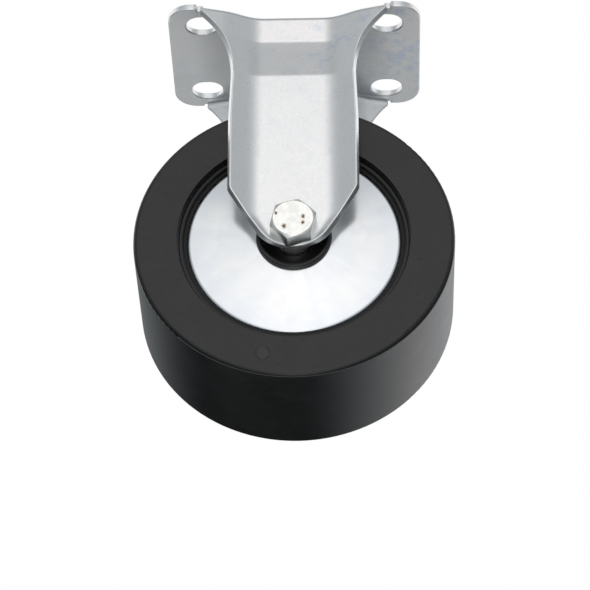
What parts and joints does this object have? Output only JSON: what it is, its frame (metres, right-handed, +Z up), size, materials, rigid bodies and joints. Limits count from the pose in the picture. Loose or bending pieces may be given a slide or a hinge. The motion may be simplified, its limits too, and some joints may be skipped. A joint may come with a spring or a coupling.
{
  "type": "fixed castor",
  "caption": "Fixed castor: a pressed steel fork under a slotted top plate carries a black moulded wheel that spins on ball bearings round an axle bolt.",
  "frame": {"origin": "centre of the slot pattern on the top plate's upper face", "axes": "+Z up out of the plate, X the rolling direction, Y along the axle with the bolt's head at -Y"},
  "size_m": [0.1, 0.0681, 0.1366],
  "materials": {
    "zinc_plated_sheet": "zinc plated, smooth, faintly blue, with fine rolling and pressing marks",
    "zinc_plated_cover": "zinc plated, bright and slightly blue",
    "zinc_plated_bolt": "zinc plated, dull, with specks of rust on the head",
    "wheel_moulding": "black moulding, matt faces and a satin tread",
    "seal_moulding": "black, satin",
    "nylon_ring": "off-white, waxy",
    "bearing_steel": "ground and polished",
    "cage_steel": "pressed sheet, satin"
  },
  "bodies": {
    "fork_body": {"fork": "zinc_plated_sheet", "axle_bolt": "zinc_plated_bolt", "axle_nut": "zinc_plated_bolt", "nut_insert": "nylon_ring", "spacer_sleeve": "zinc_plated_bolt", "bearing_front_inner_ring": "bearing_steel", "bearing_back_inner_ring": "bearing_steel"},
    "wheel_body": {"wheel": "wheel_moulding", "dust_cover_front": "zinc_plated_cover", "hub_seal_front": "seal_moulding", "bearing_front_outer_ring": "bearing_steel", "bearing_front_shield_out": "cage_steel", "bearing_front_shield_in": "cage_steel", "dust_cover_back": "zinc_plated_cover", "hub_seal_back": "seal_moulding", "bearing_back_outer_ring": "bearing_steel", "bearing_back_shield_out": "cage_steel", "bearing_back_shield_in": "cage_steel"},
    "front_cage_body": {"bearing_front_cage": "cage_steel", "bearing_front_balls": "bearing_steel"},
    "back_cage_body": {"bearing_back_cage": "cage_steel", "bearing_back_balls": "bearing_steel"}
  },
  "joints": [
    {"name": "wheel_spin", "type": "hinge", "parent": "fork_body", "child": "wheel_body", "pos_m": [0, 0, -0.0866], "axis": [0, 1, 0], "continuous": true},
    {"name": "front_cage_spin", "type": "hinge", "parent": "fork_body", "child": "front_cage_body", "pos_m": [0, 0, -0.0866], "axis": [0, 1, 0], "continuous": true},
    {"name": "back_cage_spin", "type": "hinge", "parent": "fork_body", "child": "back_cage_body", "pos_m": [0, 0, -0.0866], "axis": [0, 1, 0], "continuous": true}
  ],
  "couplings": [
    {"joint": "front_cage_spin", "follows": "wheel_spin", "ratio": 0.63523},
    {"joint": "back_cage_spin", "follows": "wheel_spin", "ratio": 0.63523}
  ]
}
